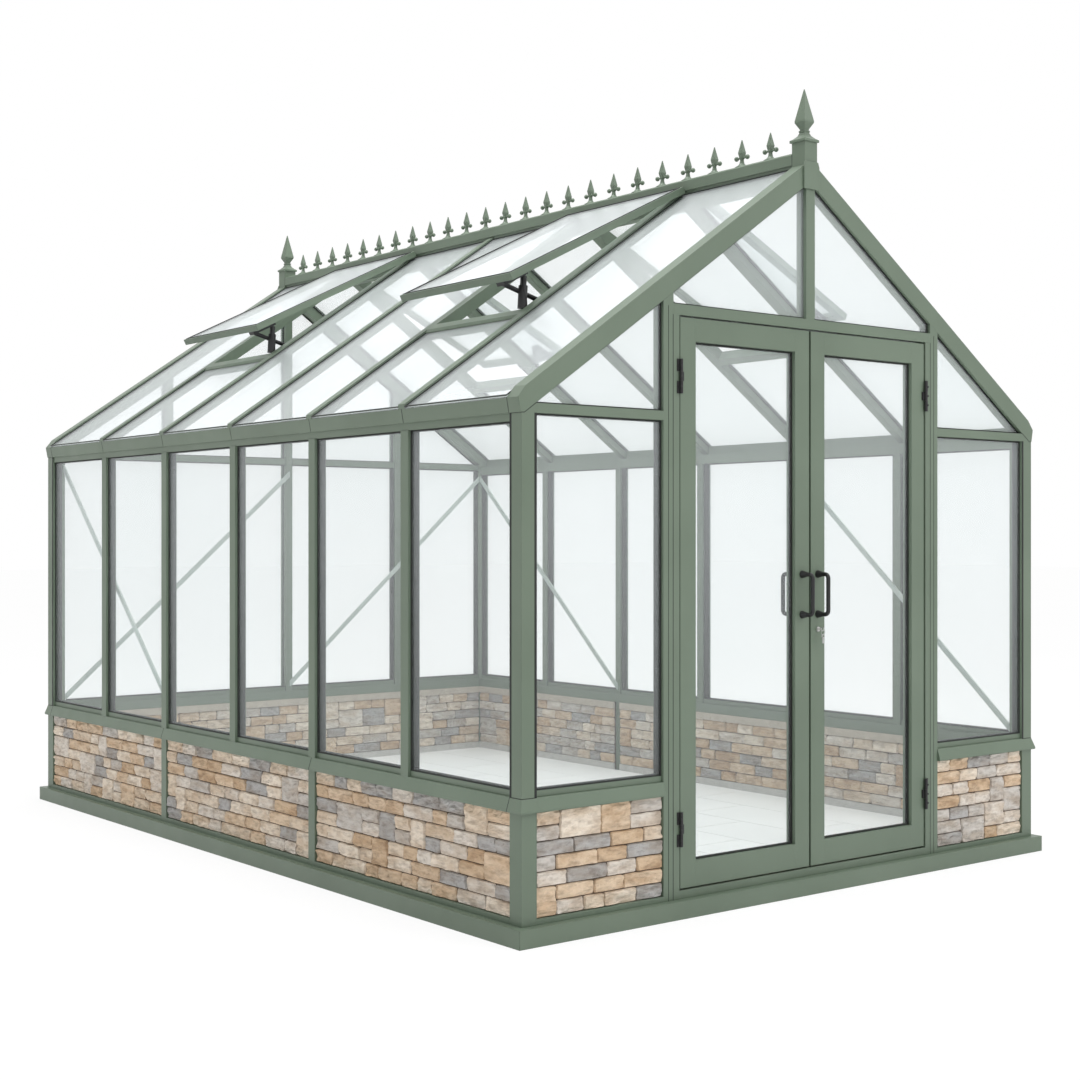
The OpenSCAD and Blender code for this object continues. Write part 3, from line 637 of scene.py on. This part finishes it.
def ring_seal(name, node, body, wide, thick):
    """A raised band along the edges of every broad face of a node's panes."""
    bm = bmesh.new()
    bm.from_mesh(nodes[node].data)
    bmesh.ops.remove_doubles(bm, verts=bm.verts, dist=MERGE)
    bmesh.ops.dissolve_limit(bm, angle_limit=FLAT_ANGLE, verts=bm.verts, edges=bm.edges)
    broad = [f for f in bm.faces if f.calc_area() > LEAST_PANE ** 2]
    narrow = [f for f in bm.faces if f.calc_area() <= LEAST_PANE ** 2]
    bmesh.ops.delete(bm, geom=narrow, context="FACES")
    bmesh.ops.inset_individual(bm, faces=broad, thickness=wide, use_even_offset=True)
    bmesh.ops.delete(bm, geom=broad, context="FACES")
    bmesh.ops.solidify(bm, geom=bm.faces[:], thickness=-thick)
    data = bpy.data.meshes.new(name)
    bm.to_mesh(data)
    bm.free()
    add_piece(name, data, RUBBER_AND_SHADE, body)


wall_seals_and_shade().piece("wall_seals_and_shade", RUBBER_AND_SHADE, "frame", "black_hardware")
ring_seal("gable_seals", "gable_glass", "frame", SEAL_W, SEAL_T)
ring_seal("roof_seals", "roof_glass", "frame", SEAL_W, SEAL_T)
ring_seal("vent_seals", "vent_glass", "frame", VENT_SEAL_W, SEAL_T)
ring_seal("left_door_seal", "left_door_glass", "left_door", DOOR_SEAL_W, DOOR_SEAL_T)
ring_seal("right_door_seal", "right_door_glass", "right_door", DOOR_SEAL_W, DOOR_SEAL_T)


# Dark seams where the frame's lengths meet, and dark strips of painted shade beside the corner
# posts

SEAM_W, SEAM_T = 1.8 * MM, 0.5 * MM
# Width of the dark strip of painted shade beside each corner post.
SHADE_STRIP_W = 9 * MM
SILL_LIP = 7 * MM
TOUCH = 0.5 * MM
SIDES = (Vector((-1, 0, 0)), Vector((1, 0, 0)))
ENDS = (Vector((0, -1, 0)), Vector((0, 1, 0)))


def chain(mesh, points, out):
    """Seams from each point to the next."""
    for start, end in zip(points, points[1:]):
        mesh.line(start, end, out, SEAM_W, SEAM_T)


def post_seams(mesh):
    """Along the head of each corner post, on its two outer faces."""
    for corners in islands("corner_posts"):
        top = [c for c in corners if c.z > SILL_TOP]
        for out in SIDES + ENDS:
            edge = HALF_W if out.x else HALF_L
            on_face = [c for c in top if abs(c.dot(out) - edge) < TOUCH]
            if len(on_face) > 1:
                chain(mesh, sorted(on_face, key=lambda c: rounded(c.xy)), out)


def block_seams(mesh):
    """Over and under each sill corner block, on the post's outer faces."""
    for lo, hi in solids("corner_posts"):
        side, end = SIDES[lo.x > 0], ENDS[lo.y > 0]
        x, y = side.x * HALF_W, end.y * HALF_L
        for z in (SILL_Z, SILL_TOP):
            chain(mesh, [Vector((x, lo.y, z)), Vector((x, hi.y, z))], side)
            chain(mesh, [Vector((lo.x, y, z)), Vector((hi.x, y, z))], end)


def post_shade_strips(mesh):
    """Dark strips along the edges of each corner post that face the panes: painted shade for the
    shadowed gap beside the glass.
    """
    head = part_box("gable_transoms")[0].z
    for lo, hi in solids("corner_posts"):
        side, end = SIDES[lo.x > 0], ENDS[lo.y > 0]
        inner_x = hi.x - SHADE_STRIP_W / 2 if lo.x < 0 else lo.x + SHADE_STRIP_W / 2
        inner_y = hi.y - SHADE_STRIP_W / 2 if lo.y < 0 else lo.y + SHADE_STRIP_W / 2
        for out, x, y in ((side, side.x * HALF_W, inner_y), (end, inner_x, end.y * HALF_L)):
            mesh.line(Vector((x, y, SILL_TOP)), Vector((x, y, head)), out, SHADE_STRIP_W, SEAM_T)


def sill_seams(mesh):
    """Across the long sills over each divider, and beside each corner block."""
    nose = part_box("side_sills")[1].x
    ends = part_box("side_sills")[1].y
    places = [(lo.y + hi.y) / 2 for lo, hi in solids("wall_dividers") if lo.x > 0]
    for out in SIDES:
        for y in places + [-ends, ends]:
            profile = ((nose, SILL_Z), (nose, SILL_Z + SILL_LIP), (HALF_W, SILL_TOP))
            points = [Vector((out.x * x, y, z)) for x, z in profile]
            chain(mesh, points[:2], out)
            slope = Vector((out.x * (SILL_TOP - SILL_Z - SILL_LIP), 0, nose - HALF_W)).normalized()
            chain(mesh, points[1:], slope)


def eave_seams(mesh):
    """Down the fascia at each end, where the rafter's foot begins, and over each mullion."""
    lo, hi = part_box("eaves_beams")
    bars = solids("wall_mullions")
    for corners in islands("eaves_beams"):
        out = SIDES[corners[0].x > 0]
        at_end = [c for c in corners if abs(c.y - lo.y) < TOUCH]
        face = sorted(at_end, key=lambda c: -c.dot(out))[:2]
        over = [
            (a.y + b.y) / 2 for a, b in bars
            if HALF_W - max(a.dot(out), b.dot(out)) < TOUCH
        ]
        for y in [lo.y, hi.y] + over:
            chain(mesh, [Vector((c.x, y, c.z)) for c in face], out)


def ridge_seams(mesh):
    """Up the ridge beam's sides at its two ends."""
    lo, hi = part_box("ridge_beam")
    corners = islands("ridge_beam")[0]
    for out in SIDES:
        for y in (lo.y, hi.y):
            face = [c for c in corners if abs(c.y - y) < TOUCH and abs(c.dot(out) - hi.x) < TOUCH]
            chain(mesh, sorted(face, key=lambda c: c.z), out)


def door_post_seams(mesh):
    """Up each door post: beside the jamb, and a groove along its middle."""
    out = ENDS[0]
    for lo, hi in solids("door_posts"):
        middle = (lo.x + hi.x) / 2
        inner = lo.x + SEAM_W if middle > 0 else hi.x - SEAM_W
        for x, top in ((inner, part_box("door_jambs")[1].z), (middle, hi.z - (hi.x - lo.x))):
            chain(mesh, [Vector((x, lo.y, lo.z)), Vector((x, lo.y, top))], out)


# Seams are dark joints; the strips beside the corner posts are painted shade.
frame_seams_and_shade = Mesh()
for draw in (
    post_seams, block_seams, post_shade_strips, sill_seams,
    eave_seams, ridge_seams, door_post_seams,
):
    draw(frame_seams_and_shade)
frame_seams_and_shade.piece("frame_seams_and_shade", RUBBER_AND_SHADE, "frame", "black_hardware")


# Bolts at the ends of the braces, and screws in the hinge plates

BOLT_R, BOLT_T, BOLT_IN = 7 * MM, 5 * MM, 16 * MM
SCREW_R, SCREW_T = 3.5 * MM, 1.5 * MM
SCREW_SHARES = (0.2, 0.5, 0.8)
SUNK = 1 * MM
BRACE_FLAT = 20 * MM


def brace_bolts():
    """A six-sided head near each end of a brace."""
    mesh = Mesh()
    for corners in islands("wall_braces"):
        middle = sum(corners, Vector()) / len(corners)
        xs = [c.x for c in corners]
        if max(xs) - min(xs) < BRACE_FLAT:
            inward = SIDES[middle.x < 0]
        else:
            inward = ENDS[middle.y < 0]
        face = max(c.dot(inward) for c in corners)
        on_face = sorted((c for c in corners if face - c.dot(inward) < TOUCH), key=lambda c: c.z)
        foot, head = (on_face[0] + on_face[1]) / 2, (on_face[-1] + on_face[-2]) / 2
        step = (head - foot).normalized() * BOLT_IN
        for place in (foot + step, head - step):
            mesh.prism(place - inward * SUNK, inward * (BOLT_T + SUNK), BOLT_R, 6)
    return mesh


def hinge_screws():
    """Three round heads on each plate that is wide enough."""
    mesh = Mesh()
    out = ENDS[0]
    for lo, hi in solids("hinge_plates"):
        if hi.x - lo.x < 4 * SCREW_R:
            continue
        for share in SCREW_SHARES:
            place = Vector(((lo.x + hi.x) / 2, lo.y, lo.z + (hi.z - lo.z) * share))
            mesh.prism(place - out * SUNK, out * (SCREW_T + SUNK), SCREW_R, 16)
    return mesh


brace_bolts().piece("brace_bolts", ROD, "frame", "black_hardware")
hinge_screws().piece("hinge_screws", BLACK, "frame", "black_hardware")


# Barrels of the vent openers

BARREL_R, BARREL_ENDS = 17 * MM, (0.15, 0.68)
NECK_R, NECK_END = 12 * MM, 0.9


def opener_barrels():
    """A barrel and its neck round the upright arm of each opener, from foot to shoe."""
    mesh = Mesh()
    for corners in islands("vent_openers"):
        ys = [c.y for c in corners]
        blocks = [c for c in corners if min(c.y - min(ys), max(ys) - c.y) < TOUCH]
        blocks.sort(key=lambda c: c.z)
        low = sorted(blocks[:8], key=lambda c: -abs(c.x))[:4]
        high = sorted(blocks[8:], key=lambda c: abs(c.x))[:4]
        foot, head = sum(low, Vector()) / 4, sum(high, Vector()) / 4
        along = head - foot
        start, end = BARREL_ENDS
        mesh.prism(foot + along * start, along * (end - start), BARREL_R, 24)
        mesh.prism(foot + along * end, along * (NECK_END - end), NECK_R, 24)
    return mesh


opener_barrels().piece("opener_barrels", BLACK, "frame", "black_hardware")


# Lock and keys under the right handle

LOCK_DROP = 40 * MM
LOCK_R, LOCK_T = 9 * MM, 4 * MM
PLUG_R, PLUG_T = 0.72 * LOCK_R, 3 * MM
KEY_L, KEY_W, KEY_T = 30 * MM, 7 * MM, 1.6 * MM
SHANK_L, BOW_OUT, BOW_R = 18 * MM, 22 * MM, 7 * MM
RING_R, WIRE_R = 9 * MM, 0.9 * MM
RING_OUT, RING_DROP, RING_AXIS = 4 * MM, 2 * MM, Vector((0, 1, 0.3))
SPARE_APART = Vector((2.5 * MM, 2 * MM, 0))
SPARE_BOW_R, SPARE_BOW_WIRE, SPARE_BOW_DROP = 6 * MM, 1.5 * MM, 5 * MM
SPARE_NECK = 8 * MM


def ring(mesh, centre, axis, radius, wire, parts=24):
    """Closed loop of round wire."""
    turn = axis.to_track_quat("Z", "Y").to_matrix()
    places = [centre + turn @ p * radius for p in circle(parts)]
    for start, end in zip(places, places[1:] + places[:1]):
        mesh.prism(start, end - start, wire, 8)


def lock_and_keys():
    """A round lock with a key in it, and two more keys on its ring."""
    mesh = Mesh()
    handle_lo, handle_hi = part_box("right_door_handles")
    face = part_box("right_door_stiles")[0].y
    centre = Vector(((handle_lo.x + handle_hi.x) / 2, face, handle_lo.z - LOCK_DROP))
    out = ENDS[0]
    mesh.prism(centre, out * LOCK_T, LOCK_R, 24)
    mesh.prism(centre + out * LOCK_T, out * PLUG_T, PLUG_R, 24)
    mesh.box(
        centre + Vector((-KEY_T / 2, -SHANK_L, -KEY_W / 2)),
        centre + Vector((KEY_T / 2, 0, KEY_W / 2)),
    )
    bow = centre + out * BOW_OUT
    ring(mesh, bow, SIDES[1], BOW_R, KEY_T)
    loop = bow + Vector((0, -RING_OUT, -RING_R - RING_DROP))
    ring(mesh, loop, RING_AXIS, RING_R, WIRE_R)
    for side in (-1, 1):
        top = loop + SPARE_APART * side - UP * RING_R
        mesh.box(
            top + Vector((-KEY_W / 2, -KEY_T / 2, -KEY_L)),
            top + Vector((KEY_W / 2, KEY_T / 2, -SPARE_NECK)),
        )
        ring(mesh, top - UP * SPARE_BOW_DROP, ENDS[1], SPARE_BOW_R, SPARE_BOW_WIRE)
    return mesh


lock_and_keys().piece("lock_and_keys", STEEL, "right_door", "black_hardware")


# Stage, light and camera

FLOOR_REACH = 60
FLOOR_WHITE = 0.86
FOCAL_PX, FRAME_PX, SENSOR = 1677, 1080, 36
CAMERA_PLACE = (-4.455, -5.968, 1.261)
CAMERA_TURN = -38.26
CAMERA_SHIFT = -0.0015


def stage_floor():
    """A pale floor, near white to the camera, that keeps the shadow."""
    reach = FLOOR_REACH
    data = bpy.data.meshes.new("stage_floor")
    corners = [(-reach, -reach, 0), (reach, -reach, 0), (reach, reach, 0), (-reach, reach, 0)]
    data.from_pydata(corners, [], [(0, 1, 2, 3)])
    floor = bpy.data.objects.new("stage_floor", data)
    bpy.context.scene.collection.objects.link(floor)
    s = Shader("studio_floor")
    shaded = s.node("BsdfDiffuse")
    tone = s.ramp(s.noise(0.4, 1.0), (0.4, linear(246, 246, 246)), (0.6, linear(248, 248, 248)))
    s.link(tone, shaded.inputs["Color"])
    glow = s.node("Emission")
    path = s.node("LightPath")
    seen = path.outputs["Is Camera Ray"]
    for ray in ("Is Glossy Ray", "Is Transmission Ray"):
        either = s.node("Math", operation="MAXIMUM")
        s.link(seen, either.inputs[0])
        s.link(path.outputs[ray], either.inputs[1])
        seen = either.outputs[0]
    share = s.node("Math", operation="MULTIPLY")
    share.inputs[1].default_value = FLOOR_WHITE
    s.link(seen, share.inputs[0])
    blend = s.node("MixShader")
    s.link(share.outputs[0], blend.inputs["Fac"])
    s.link(shaded.outputs["BSDF"], blend.inputs[1])
    s.link(glow.outputs["Emission"], blend.inputs[2])
    s.link(blend.outputs["Shader"], s.output.inputs["Surface"])
    data.materials.append(s.material)


def white_world(low, high, side):
    """White to the camera, and otherwise a soft sky, brighter towards the top and the right."""
    world = bpy.data.worlds.new("studio")
    bpy.context.scene.world = world
    world.use_nodes = True
    tree = world.node_tree
    tree.nodes.clear()

    def add(kind, **settings):
        made = tree.nodes.new("ShaderNode" + kind)
        for key, value in settings.items():
            setattr(made, key, value)
        return made

    def link(source, target):
        tree.links.new(source, target)

    path = add("LightPath")
    seen = path.outputs["Is Camera Ray"]
    for ray in ("Is Glossy Ray", "Is Transmission Ray"):
        either = add("Math", operation="MAXIMUM")
        link(seen, either.inputs[0])
        link(path.outputs[ray], either.inputs[1])
        seen = either.outputs[0]
    axes = add("SeparateXYZ")
    link(add("TexCoord").outputs["Generated"], axes.inputs[0])
    sky = add("MapRange")
    sky.inputs["To Min"].default_value = low
    sky.inputs["To Max"].default_value = high
    link(axes.outputs["Z"], sky.inputs["Value"])
    across = add("MapRange")
    for name, value in (("From Min", -1.0), ("To Min", 1.0 - side), ("To Max", 1.0 + side)):
        across.inputs[name].default_value = value
    link(axes.outputs["X"], across.inputs["Value"])
    soft = add("Math", operation="MULTIPLY")
    link(sky.outputs["Result"], soft.inputs[0])
    link(across.outputs["Result"], soft.inputs[1])
    level = add("Mix", data_type="FLOAT")
    link(seen, level.inputs["Factor"])
    link(soft.outputs[0], level.inputs["A"])
    level.inputs["B"].default_value = 1.0
    background = add("Background")
    background.inputs["Color"].default_value = (1, 1, 1, 1)
    link(level.outputs["Result"], background.inputs["Strength"])
    link(background.outputs["Background"], add("OutputWorld").inputs["Surface"])


def soft_lamp(name, place, target, size, power):
    """A round lamp, metres wide, that faces a point."""
    data = bpy.data.lights.new(name, "AREA")
    data.shape = "DISK"
    data.size = size
    data.energy = power
    lamp = bpy.data.objects.new(name, data)
    lamp.location = place
    lamp.rotation_euler = (Vector(target) - Vector(place)).to_track_quat("-Z", "Y").to_euler()
    bpy.context.scene.collection.objects.link(lamp)


def photo_camera():
    """The photograph's level view, found from the building's straight edges."""
    data = bpy.data.cameras.new("camera")
    data.sensor_width = SENSOR
    data.lens = SENSOR * FOCAL_PX / FRAME_PX
    data.shift_y = CAMERA_SHIFT
    camera = bpy.data.objects.new("camera", data)
    camera.location = CAMERA_PLACE
    camera.rotation_euler = (math.radians(90), 0, math.radians(CAMERA_TURN))
    bpy.context.scene.collection.objects.link(camera)
    bpy.context.scene.camera = camera


stage_floor()
white_world(low=0.14, high=1.4, side=0.48)
soft_lamp("key", place=(2.0, -6.4, 5.6), target=(0, -1.9, 1.6), size=3.0, power=90)
soft_lamp("top", place=(-0.9, -0.8, 8.5), target=(0, 0, 1.0), size=5.0, power=420)
photo_camera()
bpy.context.scene.view_settings.view_transform = "Standard"
bpy.context.scene.cycles.transparent_max_bounces = 32
